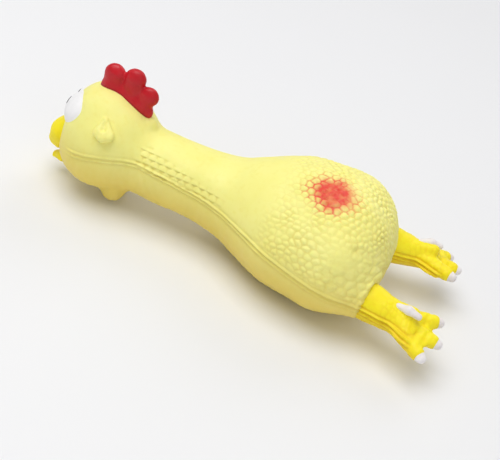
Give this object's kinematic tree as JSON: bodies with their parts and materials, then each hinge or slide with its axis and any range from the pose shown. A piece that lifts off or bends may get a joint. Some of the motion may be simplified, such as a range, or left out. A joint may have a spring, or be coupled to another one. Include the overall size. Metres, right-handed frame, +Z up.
{
  "type": "rubber chicken",
  "caption": "Hollow latex squeaky chicken lying on its belly: neck and legs flex, and the rump is pressed in to sound the squeaker.",
  "frame": {"origin": "centre of the bounding box in X and Y, on the floor under the belly in Z", "axes": "+X from beak to toes, +Z up through the back, -Y on the chicken's left side"},
  "size_m": [0.18, 0.075, 0.0597],
  "materials": {
    "pale_latex": "matte",
    "golden_latex": "matte",
    "red_latex": "satin",
    "red_spray": "matte",
    "white_paint": "satin",
    "black_paint": "satin",
    "fibre": "matte",
    "squeaker_plastic": "satin",
    "reed_plastic": "gloss"
  },
  "bodies": {
    "torso": {"torso_back_skin": "pale_latex", "torso_belly_skin": "pale_latex", "torso_filling": "fibre", "squeaker_body": "squeaker_plastic", "squeaker_cap": "squeaker_plastic", "squeaker_reed_block": "squeaker_plastic", "squeaker_reed_clamp": "squeaker_plastic"},
    "neck_base": {"neck_base_back_skin": "pale_latex", "neck_base_throat_skin": "pale_latex", "neck_base_filling": "fibre"},
    "neck": {"neck_back_skin": "pale_latex", "neck_throat_skin": "pale_latex", "neck_filling": "fibre"},
    "head": {"head_crown_skin": "pale_latex", "head_jaw_skin": "pale_latex", "head_filling": "fibre", "comb": "red_latex", "upper_beak": "golden_latex", "lower_beak": "golden_latex", "left_eye_white": "white_paint", "right_eye_white": "white_paint", "left_pupil": "black_paint", "right_pupil": "black_paint", "left_ear": "pale_latex", "right_ear": "pale_latex", "left_wattle": "pale_latex", "right_wattle": "pale_latex"},
    "left_leg": {"left_leg": "golden_latex", "left_toe_claws": "white_paint", "left_heel_claw": "white_paint"},
    "right_leg": {"right_leg": "golden_latex", "right_toe_claws": "white_paint", "right_heel_claw": "white_paint"},
    "rump_patch": {"rump_patch": "red_spray"},
    "squeaker_reed": {"squeaker_reed": "reed_plastic"}
  },
  "joints": [
    {"name": "neck_sway", "type": "hinge", "parent": "torso", "child": "neck_base", "pos_m": [-0.0162, 0, 0.0246], "axis": [0, 0, 1], "range_deg": [-22, 22], "stiffness_Nm_per_rad": 0.6},
    {"name": "neck_bend", "type": "hinge", "parent": "neck_base", "child": "neck", "pos_m": [-0.0292, 0, 0.0246], "axis": [0, 1, 0], "range_deg": [-20, 20], "stiffness_Nm_per_rad": 0.6},
    {"name": "head_nod", "type": "hinge", "parent": "neck", "child": "head", "pos_m": [-0.0452, 0, 0.0246], "axis": [0, 1, 0], "range_deg": [-22, 22], "stiffness_Nm_per_rad": 0.5},
    {"name": "left_leg_swing", "type": "hinge", "parent": "torso", "child": "left_leg", "pos_m": [0.0618, -0.0226, 0.0182], "axis": [0, 1, 0], "range_deg": [-30, 35], "stiffness_Nm_per_rad": 0.06},
    {"name": "right_leg_swing", "type": "hinge", "parent": "torso", "child": "right_leg", "pos_m": [0.0618, 0.0226, 0.0182], "axis": [0, 1, 0], "range_deg": [-30, 35], "stiffness_Nm_per_rad": 0.06},
    {"name": "rump_press", "type": "slide", "parent": "torso", "child": "rump_patch", "axis": [0, 0.2079, -0.9781], "range_m": [0, 0.008], "stiffness_N_per_m": 250},
    {"name": "reed_flutter", "type": "hinge", "parent": "torso", "child": "squeaker_reed", "pos_m": [0.0258, 0.00075, 0.011], "axis": [1, 0, 0], "range_deg": [-1.5, 1.5], "stiffness_Nm_per_rad": 0.0002}
  ]
}
